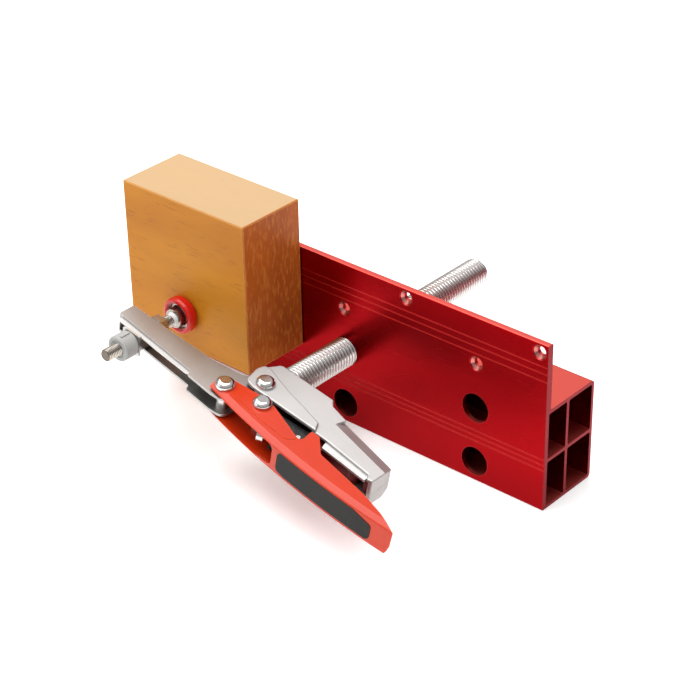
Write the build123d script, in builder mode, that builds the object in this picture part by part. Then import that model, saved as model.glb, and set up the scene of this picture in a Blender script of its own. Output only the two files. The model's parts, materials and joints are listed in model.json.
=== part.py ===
from build123d import *
import os
from math import asin, atan2, cos, degrees, hypot, radians, sin

# Clamping fence: an aluminium extrusion with a row of bench-dog holes, and a toggle clamp
# on a threaded post that passes through the fence and presses a wooden block against it.
#
# Model frame, in mm: +X along the fence, +Y from the fence's working face to its back,
# +Z up, origin at the centre of the fence's bottom face.
#
# The clamp works in one plane that holds the post's axis and leans about it. Its parts are
# drawn in that plane as (u, v): u runs across the post towards the handle's tip, v along
# the post towards the fence's back, and heights are measured from the clamp's mid-plane.

os.makedirs("parts", exist_ok=True)

# ---------------------------------------------------------------- driving dimensions
# Fence
FENCE_LENGTH = 304.8
FENCE_DEPTH = 47.4
PLATE_HEIGHT = 112.0
BOX_HEIGHT = 68.0
PLATE_THICK = 4.5
FRONT_WALL = 3.0
WALL = 2.2
MID_WEB_Y = -2.2
MID_WEB_Z = 33.75
DOG_HOLE_R = 9.61
DOG_PITCH = 101.6
DOG_LOW_Z = 13.35
DOG_HIGH_Z = 50.8
SCREW_HOLE_R = 2.7
SCREW_SINK_R = 4.9
SCREW_LOW_Z = 81.3
SCREW_HIGH_Z = 106.0
SCREW_HIGH_INNER = 48.8
SCREW_HIGH_OUTER = 146.2
GROOVE_HEIGHTS = (27.9, 31.6, 35.2, 88.0, 93.0, 97.5)
GROOVE_WIDE = 0.7
GROOVE_DEEP = 0.4

# Post
POST_R = 9.525
POST_BACK = 133.0
POST_FRONT = -48.8
JOURNAL_R = 6.0
JOURNAL_END = -60.4
POST_CHAMFER = 1.6

# Clamp plane
LEAN = 11.5
RUN = 0.05
SHEET = 1.8

# Toggle linkage, as (u, v)
ARM_PIVOT = (-1.5, -71.8)
HANDLE_PIVOT = (-16.8, -90.2)
LINK_PIVOT = (9.2, -85.8)
LINK_END = (77.0, -78.0)
ARM_PIN_R = 3.5
HANDLE_PIN_R = 3.0
LINK_PIN_R = 3.0

# Half heights from the clamp's mid-plane
SHELL_HIGH = 11.2
SHELL_LOW = 9.4
ARM_HALF = 6.6
TRACK_HALF = 5.05
ARM_SHEET = 1.5
HANDLE_HALF = 10.2
WINDOW_HALF = 8.2
LINK_HALF = 5.0
PLATE_INNER = 6.1
SEAM = 0.1
SHELL_EDGE_R = 0.9

# Handle channel, bent round a large arc
GRIP_ARC_U = 96.0
GRIP_ARC_V = 442.9
GRIP_ARC_R = 552.3

# Spindle
SPINDLE_U = -89.3
SPINDLE_R = 4.0
SPINDLE_TIP = -117.5
BALL_V = -58.6
BALL_R = 4.5
PAD_FACE = -49.9
PAD_R = 12.0
BLOCK_FACE = -49.6

# Block
BLOCK_LOW = -135.8
BLOCK_SIZE = 101.6
BLOCK_FLOOR = 43.2
FACE_GAP = 0.3

FRONT_Y = -FENCE_DEPTH / 2
BACK_Y = FENCE_DEPTH / 2

lean = radians(LEAN)
clamp = Plane(
    origin=(0, FRONT_Y, DOG_HIGH_Z),
    x_dir=(cos(lean), 0, -sin(lean)),
    z_dir=(sin(lean), 0, cos(lean)),
)


# ---------------------------------------------------------------- helpers
def spot(u, v, height=0.0):
    """A point of the clamp, in the model frame."""
    return clamp.from_local_coords((u, v, height))


def direction(u, v):
    """A direction within the clamp's plane, in the model frame."""
    return spot(u, v) - spot(0, 0)


def facing(u, v, height, towards):
    """A plane at a point of the clamp, looking along a direction (u, v)."""
    side = (-towards[1], towards[0])
    return Plane(
        origin=spot(u, v, height), x_dir=direction(*side), z_dir=direction(*towards)
    )


def slab(points, radii, low, high):
    """A flat piece with a rounded outline between two heights."""
    with BuildPart() as piece:
        with BuildSketch(clamp.offset(low)):
            with BuildLine():
                FilletPolyline(*points, radius=radii, close=True)
            make_face()
        extrude(amount=high - low)
    return piece.part


def rod(centre, radius, low, high):
    """A cylinder square to the clamp's plane."""
    with BuildPart() as piece:
        with BuildSketch(clamp.offset(low)):
            with Locations(centre):
                Circle(radius)
        extrude(amount=high - low)
    return piece.part


def ring(centre, outer, inner, low, high):
    """A washer square to the clamp's plane."""
    with BuildPart() as piece:
        with BuildSketch(clamp.offset(low)):
            with Locations(centre):
                Circle(outer)
                Circle(inner, mode=Mode.SUBTRACT)
        extrude(amount=high - low)
    return piece.part


def edges_at(piece, height):
    """The edges of a piece that lie flat at a height of the clamp."""
    return piece.edges().filter_by(
        lambda edge: abs(clamp.to_local_coords(edge.center()).Z - height) < 0.01
    )


def turned(profile, u=SPINDLE_U):
    """A piece turned about a line along v, from (radius, v) points."""
    with BuildPart() as piece:
        with BuildSketch(clamp):
            with BuildLine():
                Polyline(*[(u + radius, v) for radius, v in profile], close=True)
            make_face()
        revolve(axis=Axis(spot(u, 0), direction(0, 1)))
    return piece.part


def save(piece, name):
    """Names a finished piece and writes its STEP file."""
    piece.label = name
    export_step(piece, f"parts/{name}.step")


# ================================================================ fence
dog_spots = [
    (column * DOG_PITCH, height)
    for height in (DOG_LOW_Z, DOG_HIGH_Z)
    for column in (-1, 0, 1)
]
screw_spots = [(column * DOG_PITCH, SCREW_LOW_Z) for column in (-1, 0, 1)]
screw_spots += [
    (side * offset_x, SCREW_HIGH_Z)
    for side in (-1, 1)
    for offset_x in (SCREW_HIGH_INNER, SCREW_HIGH_OUTER)
]
cell_columns = (
    (FRONT_Y + FRONT_WALL, MID_WEB_Y - WALL / 2),
    (MID_WEB_Y + WALL / 2, BACK_Y - WALL),
)
cell_rows = (
    (WALL, MID_WEB_Z - WALL / 2),
    (MID_WEB_Z + WALL / 2, BOX_HEIGHT - WALL),
)
front_face = Plane(origin=(0, FRONT_Y, 0), x_dir=(1, 0, 0), z_dir=(0, -1, 0))

with BuildPart() as fence_rail:
    # Section: a tall plate in front of a box with four cells
    with BuildSketch(Plane.YZ) as fence_section:
        with BuildLine():
            FilletPolyline(
                (FRONT_Y, 0),
                (BACK_Y, 0),
                (BACK_Y, BOX_HEIGHT),
                (FRONT_Y + PLATE_THICK, BOX_HEIGHT),
                (FRONT_Y + PLATE_THICK, PLATE_HEIGHT),
                (FRONT_Y, PLATE_HEIGHT),
                radius=[0.6, 2.5, 2.5, 1.2, 0.8, 0.8],
                close=True,
            )
        make_face()
        for near, far in cell_columns:
            for low, high in cell_rows:
                with Locations(((near + far) / 2, (low + high) / 2)):
                    RectangleRounded(far - near, high - low, 1.2, mode=Mode.SUBTRACT)
    extrude(amount=FENCE_LENGTH / 2, both=True)
    # Fine grooves along the working face
    with BuildSketch(front_face):
        for height in GROOVE_HEIGHTS:
            with Locations((0, height)):
                Rectangle(FENCE_LENGTH + 2, GROOVE_WIDE)
    extrude(amount=-GROOVE_DEEP, mode=Mode.SUBTRACT)
    # Dog holes right through the box
    with BuildSketch(front_face):
        with Locations(*dog_spots):
            Circle(DOG_HOLE_R)
    extrude(amount=-FENCE_DEPTH, mode=Mode.SUBTRACT)
    # Countersunk screw holes in the plate
    with Locations(front_face):
        with Locations(*[(x, z, 0) for x, z in screw_spots]):
            CounterSinkHole(SCREW_HOLE_R, SCREW_SINK_R, depth=PLATE_THICK)
save(fence_rail.part, "fence_rail")

# ================================================================ threaded post
post_profile = [
    (0, POST_BACK),
    (POST_R - POST_CHAMFER, POST_BACK),
    (POST_R, POST_BACK - POST_CHAMFER),
    (POST_R, POST_FRONT + 1.0),
    (POST_R - 1.0, POST_FRONT),
    (JOURNAL_R, POST_FRONT),
    (JOURNAL_R, JOURNAL_END + 0.8),
    (JOURNAL_R - 0.8, JOURNAL_END),
    (0, JOURNAL_END),
]
with BuildPart() as threaded_post:
    add(turned(post_profile, u=0))
save(threaded_post.part, "threaded_post")

# ================================================================ clamp body
# Two pressed shells, open at the front and at the nose, where the arm comes in.
shell_outline = [
    (-4.5, -79.5),
    (54.0, -79.6),
    (89.4, -82.8),
    (91.4, -86.4),
    (95.4, -85.8),
    (95.6, -74.5),
    (93.8, -66.2),
    (50.0, -57.0),
    (37.0, -53.6),
    (33.0, -49.2),
    (-8.5, -49.2),
    (-12.8, -57.0),
    (-15.0, -65.0),
    (-12.0, -77.5),
]
shell_radii = [4, 30, 1.5, 1.2, 1.2, 6, 3, 4, 3, 1.2, 4, 6, 8, 5]
pocket_outline = [
    (-30, -100),
    (-30, -67.2),
    (-12.2, -67.2),
    (-11.0, -57.6),
    (-7.4, -51.0),
    (32.2, -51.0),
    (36.0, -55.2),
    (49.6, -58.8),
    (92.2, -67.7),
    (93.7, -74.6),
    (92.8, -84.0),
    (92.8, -100),
]
# A raised strip runs along the front edge, from the nose to a short step.
strip_outline = [
    (-4.5, -79.5),
    (45.8, -79.5),
    (42.4, -73.0),
    (28.0, -69.2),
    (13.0, -65.9),
    (-9.0, -58.8),
    (-13.4, -59.2),
    (-15.0, -65.0),
    (-12.0, -77.5),
]
strip_radii = [4, 0.4, 1, 40, 40, 4, 2, 8, 5]
strip_pocket = [
    (-30, -100),
    (-30, -63.5),
    (-12.4, -63.5),
    (-11.0, -60.9),
    (-8.6, -60.9),
    (13.0, -67.8),
    (28.0, -71.1),
    (40.6, -74.4),
    (43.6, -80.2),
    (43.6, -100),
]
# The rear shoulder of each shell slopes down to its skirt.
shoulder_start = (50.0, -57.0)
shoulder_end = (93.8, -66.2)
shoulder_run = (shoulder_end[0] - shoulder_start[0], shoulder_end[1] - shoulder_start[1])


def shoulder_wedge(drop):
    """The wedge that is cut away above the sloping shoulder, lowered by drop."""
    slope_rise, slope_run = 3.4, 8.0
    top = SHELL_HIGH + 2
    outside = 2.0
    inside = slope_run + 1.0
    low = SHELL_LOW - slope_rise - drop
    grade = slope_rise / slope_run
    section = facing(*shoulder_start, 0, shoulder_run)
    with BuildPart() as wedge:
        with BuildSketch(section):
            with BuildLine():
                Polyline(
                    (outside, low - outside * grade),
                    (outside, top),
                    (-inside, top),
                    (-inside, low + inside * grade),
                    close=True,
                )
            make_face()
        extrude(amount=hypot(*shoulder_run) + 8)
    return wedge.part


with BuildPart() as shell_blank:
    add(slab(shell_outline, shell_radii, SEAM, SHELL_LOW))
    fillet(edges_at(shell_blank, SHELL_LOW), SHELL_EDGE_R)
    add(shoulder_wedge(0.0), mode=Mode.SUBTRACT)
    add(slab(strip_outline, strip_radii, SEAM, SHELL_HIGH))
    fillet(edges_at(shell_blank, SHELL_HIGH), SHELL_EDGE_R)
with BuildPart() as shell_hollow:
    add(slab(pocket_outline, 0.5, SEAM - 1, SHELL_LOW - SHEET))
    add(shoulder_wedge(SHEET), mode=Mode.SUBTRACT)
    add(slab(strip_pocket, 0.5, SEAM - 1, SHELL_HIGH - SHEET))

with BuildPart() as body_shell_top:
    add(shell_blank.part)
    add(shell_hollow.part, mode=Mode.SUBTRACT)
    add(rod(ARM_PIVOT, ARM_PIN_R + RUN, 0, SHELL_HIGH + 1), mode=Mode.SUBTRACT)
    # Round cut-out in the rear skirt for the post's journal
    journal_hole = Cylinder(
        JOURNAL_R + 0.6, 12, rotation=(90, 0, 0), mode=Mode.PRIVATE
    ).moved(Location(spot(0, -50)))
    add(journal_hole, mode=Mode.SUBTRACT)
with BuildPart() as body_shell_bottom:
    mirror(body_shell_top.part, about=clamp)
save(body_shell_top.part, "body_shell_top")
save(body_shell_bottom.part, "body_shell_bottom")

# Steel lug that the post's journal turns in
with BuildPart() as post_socket:
    add(
        slab(
            [(-6.9, -51.1), (10.0, -51.1), (10.0, -62.0), (-8.0, -62.0), (-9.9, -57.4)],
            0.5,
            -(SHELL_LOW - SHEET),
            SHELL_LOW - SHEET,
        )
    )
    socket_bore = Cylinder(
        JOURNAL_R + RUN, 9.6 * 2, rotation=(90, 0, 0), mode=Mode.PRIVATE
    ).moved(Location(spot(0, -51.1)))
    add(socket_bore, mode=Mode.SUBTRACT)
save(post_socket.part, "post_socket")

# Toothed plates that the link's end runs between
plate_outline = [(51.0, -69.0), (55.8, -84.6), (90.0, -86.8), (90.6, -76.8)]
spacer_spots = [(44.0, -60.5), (88.2, -79.8)]
TOOTH_PITCH = 1.6
TOOTH_DEEP = 0.12
TOOTH_GAP = 0.4
TOOTH_START = 58.0
TOOTH_END = 88.0
PLATE_OUTER = SHELL_LOW - SHEET
tooth_count = int((TOOTH_END - TOOTH_START) / TOOTH_PITCH)

with BuildPart() as clutch_plates:
    for low, high in ((PLATE_INNER, PLATE_OUTER), (-PLATE_OUTER, -PLATE_INNER)):
        add(slab(plate_outline, 0.8, low, high))
    for index in range(tooth_count):
        left = TOOTH_START + index * TOOTH_PITCH
        right = left + TOOTH_GAP
        notch = slab(
            [(left, -88.0), (right, -88.0), (right, -83.4), (left, -83.4)],
            0,
            PLATE_OUTER - TOOTH_DEEP,
            PLATE_OUTER + 1,
        )
        add(notch, mode=Mode.SUBTRACT)
    add(rod(spacer_spots[1], 2.4, -9, 9), mode=Mode.SUBTRACT)
save(clutch_plates.part, "clutch_plates")

with BuildPart() as shell_spacers:
    for place in spacer_spots:
        add(rod(place, 2.35, -PLATE_OUTER, PLATE_OUTER))
save(shell_spacers.part, "shell_spacers")


# ---------------------------------------------------------------- rivets and washers
def rivet(centre, shank_r, reach, head_r=6.1, head_high=3.8, crown_r=3.3):
    """A rivet with a domed, flat-topped head at each end of its shank."""
    edge = 0.8
    with BuildPart() as piece:
        with BuildSketch(facing(*centre, 0, (0, 1))):
            with BuildLine():
                Polyline((0, 0), (shank_r, 0), (shank_r, reach), (head_r, reach))
                Line((head_r, reach), (head_r, reach + edge))
                ThreePointArc(
                    (head_r, reach + edge),
                    ((head_r + crown_r) / 2 + 0.75, reach + head_high * 0.64),
                    (crown_r, reach + head_high),
                )
                Polyline((crown_r, reach + head_high), (0, reach + head_high), (0, 0))
            make_face()
        revolve(axis=Axis(spot(*centre), clamp.z_dir))
        mirror(about=clamp)
    return piece.part


def washer_pair(centre, outer, inner, low, high):
    """Two washers, mirrored about the clamp's mid-plane."""
    with BuildPart() as pair:
        add(ring(centre, outer, inner, low, high))
        add(ring(centre, outer, inner, -high, -low))
    return pair.part


with BuildPart() as arm_pivot_rivet:
    add(rivet(ARM_PIVOT, ARM_PIN_R, SHELL_HIGH))
with BuildPart() as handle_pivot_rivet:
    add(rivet(HANDLE_PIVOT, HANDLE_PIN_R, HANDLE_HALF))
with BuildPart() as link_pivot_rivet:
    add(rivet(LINK_PIVOT, LINK_PIN_R, HANDLE_HALF, head_r=6.0))
save(arm_pivot_rivet.part, "arm_pivot_rivet")
save(handle_pivot_rivet.part, "handle_pivot_rivet")
save(link_pivot_rivet.part, "link_pivot_rivet")

lug_inner = HANDLE_HALF - SHEET
with BuildPart() as arm_pivot_washers:
    add(washer_pair(ARM_PIVOT, 6.5, ARM_PIN_R + RUN, ARM_HALF + 0.15, SHELL_HIGH - SHEET))
with BuildPart() as handle_pivot_washers:
    add(washer_pair(HANDLE_PIVOT, 5.6, HANDLE_PIN_R + RUN, ARM_HALF + 0.15, WINDOW_HALF))
with BuildPart() as link_pivot_washers:
    add(washer_pair(LINK_PIVOT, 5.0, LINK_PIN_R + RUN, LINK_HALF + 0.15, lug_inner))
save(arm_pivot_washers.part, "arm_pivot_washers")
save(handle_pivot_washers.part, "handle_pivot_washers")
save(link_pivot_washers.part, "link_pivot_washers")

# ================================================================ clamp arm
ARM_LEFT = -108.5
ARM_BACK = -75.8
arm_outline = [
    (ARM_LEFT, -88.0),
    (-42.4, -93.2),
    (-40.6, -97.0),
    (-20.0, -98.9),
    (-9.6, -98.2),
    (-8.4, -86.0),
    (6.0, -79.6),
    (6.0, -64.3),
    (-9.4, -64.3),
    (-19.0, -72.0),
    (-42.0, ARM_BACK),
    (ARM_LEFT, ARM_BACK),
]
arm_radii = [1, 1.2, 1.2, 6, 5.5, 4, 7, 7.2, 7.2, 8, 40, 1]
arm_pocket = [
    (ARM_LEFT + ARM_SHEET, -120),
    (ARM_LEFT + ARM_SHEET, ARM_BACK - ARM_SHEET),
    (-42.0, ARM_BACK - ARM_SHEET),
    (-22.0, -74.6),
    (-20.5, -60),
    (30, -60),
    (30, -120),
]
arm_inner = ARM_HALF - ARM_SHEET
SLOT_START = -99.0
SLOT_END = -60.0
SLOT_HALF = 4.3


def spindle_slot():
    """The long slot that the spindle slides along."""
    with BuildPart() as slot:
        with BuildSketch(facing((SLOT_START + SLOT_END) / 2, -70, 0, (0, -1))):
            SlotOverall(SLOT_END - SLOT_START, SLOT_HALF * 2)
        extrude(amount=10)
    return slot.part


with BuildPart() as clamp_arm:
    add(slab(arm_outline, arm_radii, -ARM_HALF, ARM_HALF))
    add(slab(arm_pocket, 0.3, -arm_inner, arm_inner), mode=Mode.SUBTRACT)
    add(spindle_slot(), mode=Mode.SUBTRACT)
    add(rod(ARM_PIVOT, ARM_PIN_R + RUN, -9, 9), mode=Mode.SUBTRACT)
    add(rod(HANDLE_PIVOT, HANDLE_PIN_R + RUN, -9, 9), mode=Mode.SUBTRACT)
save(clamp_arm.part, "clamp_arm")

# Bright liner that stiffens the channel; its lips stand out in front of the arm
LINER_SHEET = 0.75
liner_back = ARM_BACK - ARM_SHEET - 0.05
liner_outline = [
    (-106.0, liner_back),
    (-42.4, liner_back),
    (-41.2, -95.8),
    (-106.0, -91.6),
]
liner_pocket = [
    (-110.0, -120),
    (-110.0, liner_back - LINER_SHEET),
    (-36.0, liner_back - LINER_SHEET),
    (-36.0, -120),
]
lower_lip = [(-110.0, -120), (-110.0, -84.0), (-36.0, -84.0), (-36.0, -120)]
with BuildPart() as arm_liner:
    add(slab(liner_outline, [0.5, 0.5, 2.5, 1], -TRACK_HALF, TRACK_HALF))
    liner_inner = TRACK_HALF - LINER_SHEET
    add(slab(liner_pocket, 0, -liner_inner, liner_inner), mode=Mode.SUBTRACT)
    add(spindle_slot(), mode=Mode.SUBTRACT)
    # The lower lip is cut short, so only the upper one stands out in front
    add(slab(lower_lip, 0, -TRACK_HALF - 1, -liner_inner + 1), mode=Mode.SUBTRACT)
save(arm_liner.part, "arm_liner")

with BuildPart() as handle_pivot_sleeve:
    add(ring(HANDLE_PIVOT, 4.2, HANDLE_PIN_R + RUN, -arm_inner, arm_inner))
save(handle_pivot_sleeve.part, "handle_pivot_sleeve")

# ================================================================ handle
# The channel's section is turned about a far centre, so the grip is gently curved.
handle_outline = [
    (-23.2, -118),
    (-23.2, -83.8),
    (8.0, -80.2),
    (16.5, -82.2),
    (46.2, -93.2),
    (44.2, -81.2),
    (50.4, -81.2),
    (61.0, -91.9),
    (100.0, -98.2),
    (115.0, -102.4),
    (136.0, -110.6),
    (136.0, -118),
]
handle_radii = [0, 6.2, 5.3, 6, 2.6, 1.4, 2.0, 4, 50, 20, 0, 0]
# Outline of the grip's face, as (u, height): it ends in a rounded tip.
face_outline = [
    (-40.0, -12.0),
    (-40.0, 13.0),
    (127.4, 13.0),
    (129.9, 8.6),
    (129.2, -2.5),
    (127.0, -8.6),
    (121.0, -12.0),
]
face_radii = [0, 0, 2, 2.5, 8, 4, 0]
# A scored line on each flange, parallel to the grip's face and turned up to the tab
scored_line = [(-10.0, -92.6), (14.0, -96.6), (38.8, -98.4), (43.0, -93.0)]
SCORE_WIDE = 0.6
SCORE_DEEP = 0.35
BEND_DROP = 1.6
BEND_WIDE = 3.8
BEND_LOW_R = 2.0
FLANGE_DEEP = 27.0
grip_start = asin((-26.0 - GRIP_ARC_U) / GRIP_ARC_R)
grip_sweep = degrees(asin((132.0 - GRIP_ARC_U) / GRIP_ARC_R) - grip_start)
grip_centre = spot(GRIP_ARC_U, GRIP_ARC_V)
outward = (sin(grip_start), -cos(grip_start))
grip_section = Plane(
    origin=grip_centre,
    x_dir=direction(*outward),
    z_dir=direction(outward[1], -outward[0]),
)


def grip_channel(inset):
    """The handle's closed section, shrunk by inset, swept round the grip's arc."""
    face = GRIP_ARC_R - inset
    half = HANDLE_HALF - inset
    with BuildPart() as sweep_body:
        with BuildSketch(grip_section):
            with BuildLine():
                FilletPolyline(
                    (face - FLANGE_DEEP, -half),
                    (face, -half),
                    (face, half - BEND_DROP),
                    (face - BEND_WIDE, half),
                    (face - FLANGE_DEEP, half),
                    radius=[0, BEND_LOW_R - inset, 1.0, 2.4, 0],
                    close=True,
                )
            make_face()
        revolve(axis=Axis(grip_centre, clamp.z_dir), revolution_arc=grip_sweep)
    return sweep_body.part


def grip_sector(outline, radii, depth, rise):
    """A thin pad on the grip's face, between depth below it and rise above it."""
    with BuildPart() as pad:
        with BuildSketch(grip_section):
            with Locations((GRIP_ARC_R + (rise - depth) / 2, 0)):
                Rectangle(depth + rise, 2 * HANDLE_HALF)
        revolve(axis=Axis(grip_centre, clamp.z_dir), revolution_arc=grip_sweep)
        with BuildPart(mode=Mode.PRIVATE) as cutter:
            with BuildSketch(facing(0, -90, 0, (0, -1))):
                with BuildLine():
                    FilletPolyline(*outline, radius=radii, close=True)
                make_face()
            extrude(amount=40)
        add(cutter.part, mode=Mode.INTERSECT)
    return pad.part


inlay_outline = [(41.6, 7.6), (41.6, -5.8), (48.0, -7.0), (115.3, -7.2), (115.3, 4.0), (101.0, 7.6)]
inlay_radii = [3.4, 2.5, 3, 3.6, 2.6, 12]
INLAY_DEEP = 0.7
INLAY_RISE = 0.4
window_outline = [
    (-40.0, WINDOW_HALF),
    (37.0, WINDOW_HALF),
    (37.0, -6.4),
    (22.0, -WINDOW_HALF),
    (-40.0, -WINDOW_HALF),
]

with BuildPart() as grip_inlay:
    add(grip_sector(inlay_outline, inlay_radii, INLAY_DEEP, INLAY_RISE))
save(grip_inlay.part, "grip_inlay")

with BuildPart() as handle:
    add(grip_channel(0.0))
    add(grip_channel(SHEET), mode=Mode.SUBTRACT)
    add(
        slab(handle_outline, handle_radii, -HANDLE_HALF - 1, HANDLE_HALF + 1),
        mode=Mode.INTERSECT,
    )
    # Window in the grip's face, open at the pivot end
    with BuildSketch(facing(0, -90, 0, (0, -1))):
        with BuildLine():
            FilletPolyline(*window_outline, radius=[0, 4, 2.5, 20, 0], close=True)
        make_face()
    extrude(amount=30, mode=Mode.SUBTRACT)
    # Rounded tip
    with BuildSketch(facing(0, -70, 0, (0, -1))):
        with BuildLine():
            FilletPolyline(*face_outline, radius=face_radii, close=True)
        make_face()
    extrude(amount=60, mode=Mode.INTERSECT)
    add(grip_inlay.part, mode=Mode.SUBTRACT)
    # Scored line on both flanges
    with BuildSketch(clamp.offset(HANDLE_HALF - SCORE_DEEP)) as upper_score:
        with BuildLine():
            FilletPolyline(*scored_line, radius=[60, 4])
        trace(line_width=SCORE_WIDE)
    extrude(amount=2, mode=Mode.SUBTRACT)
    with BuildSketch(clamp.offset(-HANDLE_HALF + SCORE_DEEP)) as lower_score:
        with BuildLine():
            FilletPolyline(*scored_line, radius=[60, 4])
        trace(line_width=SCORE_WIDE)
    extrude(amount=-2, mode=Mode.SUBTRACT)
    for place, pin_r in ((HANDLE_PIVOT, HANDLE_PIN_R), (LINK_PIVOT, LINK_PIN_R)):
        add(rod(place, pin_r + RUN, -12, 12), mode=Mode.SUBTRACT)
save(handle.part, "handle")

# ================================================================ toggle link
link_run = (LINK_END[0] - LINK_PIVOT[0], LINK_END[1] - LINK_PIVOT[1])
LINK_EYE_R = 6.2
LINK_TAIL_R = 4.8
LINK_BAR_HALF = 3.8
LINK_PIN_END_R = 2.5

with BuildPart() as toggle_link:
    with BuildSketch(clamp):
        with Locations(LINK_PIVOT):
            Circle(LINK_EYE_R)
        with Locations(LINK_END):
            Circle(LINK_TAIL_R)
        middle = ((LINK_PIVOT[0] + LINK_END[0]) / 2, (LINK_PIVOT[1] + LINK_END[1]) / 2)
        with Locations(middle):
            Rectangle(
                hypot(*link_run),
                LINK_BAR_HALF * 2,
                rotation=degrees(atan2(link_run[1], link_run[0])),
            )
    extrude(amount=LINK_HALF, both=True)
    add(rod(LINK_PIVOT, LINK_PIN_R + RUN, -9, 9), mode=Mode.SUBTRACT)
    add(rod(LINK_END, LINK_PIN_END_R, -9, 9), mode=Mode.SUBTRACT)
save(toggle_link.part, "toggle_link")

with BuildPart() as link_end_pin:
    add(rod(LINK_END, LINK_PIN_END_R - 0.02, -5.8, 5.8))
save(link_end_pin.part, "link_end_pin")

# Black adjuster housing round the link, with its screw
screw_head = (18.5, -97.2)
screw_tip = (37.0, -90.2)
screw_run = (screw_tip[0] - screw_head[0], screw_tip[1] - screw_head[1])
screw_length = hypot(*screw_run)
SCREW_R = 2.2
SCREW_HEAD_R = 4.2
SCREW_HEAD_LONG = 4.0
housing_outline = [
    (18.0, -80.6),
    (46.0, -79.0),
    (49.0, -82.0),
    (48.6, -88.4),
    (42.0, -92.4),
    (26.4, -97.6),
    (24.0, -91.0),
    (18.0, -90.0),
]
COVER_PIN = (40.0, -87.6)
HOUSING_HALF = 6.0


def along_screw(radius, start, end):
    """A cylinder on the adjusting screw's axis."""
    unit = (screw_run[0] / screw_length, screw_run[1] / screw_length)
    base = (screw_head[0] + unit[0] * start, screw_head[1] + unit[1] * start)
    with BuildPart() as piece:
        with BuildSketch(facing(*base, 0, unit)):
            Circle(radius)
        extrude(amount=end - start)
    return piece.part


with BuildPart() as adjuster_housing:
    add(slab(housing_outline, [2, 2, 2, 3, 3, 1.5, 1, 2], -HOUSING_HALF, HOUSING_HALF))
    add(toggle_link.part, mode=Mode.SUBTRACT)
    add(along_screw(SCREW_R + RUN, -1, screw_length + 1), mode=Mode.SUBTRACT)
    add(along_screw(SCREW_HEAD_R + 0.4, -2, SCREW_HEAD_LONG + 0.4), mode=Mode.SUBTRACT)
    add(rod(COVER_PIN, 1.5, LINK_HALF - 0.5, HOUSING_HALF + 1), mode=Mode.SUBTRACT)
save(adjuster_housing.part, "adjuster_housing")

with BuildPart() as housing_pin:
    add(rod(COVER_PIN, 1.48, LINK_HALF + 0.05, HOUSING_HALF + 0.6))
save(housing_pin.part, "housing_pin")

with BuildPart() as adjusting_screw:
    add(along_screw(SCREW_HEAD_R, 0, SCREW_HEAD_LONG))
    add(along_screw(SCREW_R, SCREW_HEAD_LONG, screw_length))
    add(along_screw(1.8, -1, 1.2), mode=Mode.SUBTRACT)
save(adjusting_screw.part, "adjusting_screw")

# ================================================================ spindle and pad
BLOCK_HALF_U = 6.8
FLANGE_FRONT = -96.2
FLANGE_BACK = -94.6
REAR_NUT_HIGH = 4.2
bore_r = SPINDLE_R + RUN

with BuildPart() as slide_block:
    add(
        slab(
            [
                (SPINDLE_U - BLOCK_HALF_U, -79.0),
                (SPINDLE_U + BLOCK_HALF_U, -79.0),
                (SPINDLE_U + BLOCK_HALF_U, FLANGE_BACK),
                (SPINDLE_U - BLOCK_HALF_U, FLANGE_BACK),
            ],
            0.5,
            -3.55,
            3.55,
        )
    )
    with BuildSketch(facing(SPINDLE_U, FLANGE_BACK, 0, (0, -1))):
        RectangleRounded(BLOCK_HALF_U * 2 + 1.0, 15.4, 1.2)
    extrude(amount=FLANGE_BACK - FLANGE_FRONT)
    slide_bore = Cylinder(
        bore_r, 60, rotation=(90, 0, 0), mode=Mode.PRIVATE
    ).moved(Location(spot(SPINDLE_U, -90)))
    add(slide_bore, mode=Mode.SUBTRACT)
save(slide_block.part, "slide_block")

with BuildPart() as rear_washer:
    add(turned([(bore_r, -75.6), (7.4, -75.6), (7.4, -74.3), (bore_r, -74.3)]))
save(rear_washer.part, "rear_washer")

with BuildPart() as rear_nut:
    with BuildSketch(facing(SPINDLE_U, -74.25, 0, (0, 1))):
        RegularPolygon(6.5, 6, major_radius=False)
        Circle(bore_r, mode=Mode.SUBTRACT)
    extrude(amount=REAR_NUT_HIGH)
save(rear_nut.part, "rear_nut")

with BuildPart() as thumb_nut:
    add(
        turned(
            [
                (bore_r, -96.5),
                (7.2, -96.5),
                (7.2, -97.8),
                (8.3, -98.2),
                (8.3, -106.6),
                (7.7, -107.4),
                (5.6, -107.4),
                (5.2, -106.8),
                (bore_r, -106.8),
            ]
        )
    )
    # One grip rib on the nut's rim
    add(slab([(-90.1, -98.4), (-88.5, -98.4), (-88.5, -105.6), (-90.1, -105.6)], 0.3, 7, 9.1))
save(thumb_nut.part, "thumb_nut")

NECK_R = 2.8
with BuildPart() as spindle:
    add(
        turned(
            [
                (0, SPINDLE_TIP),
                (SPINDLE_R - 0.7, SPINDLE_TIP),
                (SPINDLE_R, SPINDLE_TIP + 0.7),
                (SPINDLE_R, -63.6),
                (NECK_R, -62.6),
                (NECK_R, -58.6),
                (0, -58.6),
            ]
        )
    )
    ball = Sphere(BALL_R, mode=Mode.PRIVATE).moved(Location(spot(SPINDLE_U, BALL_V)))
    add(ball)
save(spindle.part, "spindle")

with BuildPart() as pad_dish:
    add(
        turned(
            [
                (0, -53.0),
                (8.7, -53.0),
                (8.7, -54.4),
                (7.0, -54.4),
                (6.4, -55.2),
                (6.2, -60.0),
                (0, -60.0),
            ]
        )
    )
    seat = Sphere(BALL_R + RUN, mode=Mode.PRIVATE).moved(Location(spot(SPINDLE_U, BALL_V)))
    add(seat, mode=Mode.SUBTRACT)
save(pad_dish.part, "pad_dish")

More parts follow.
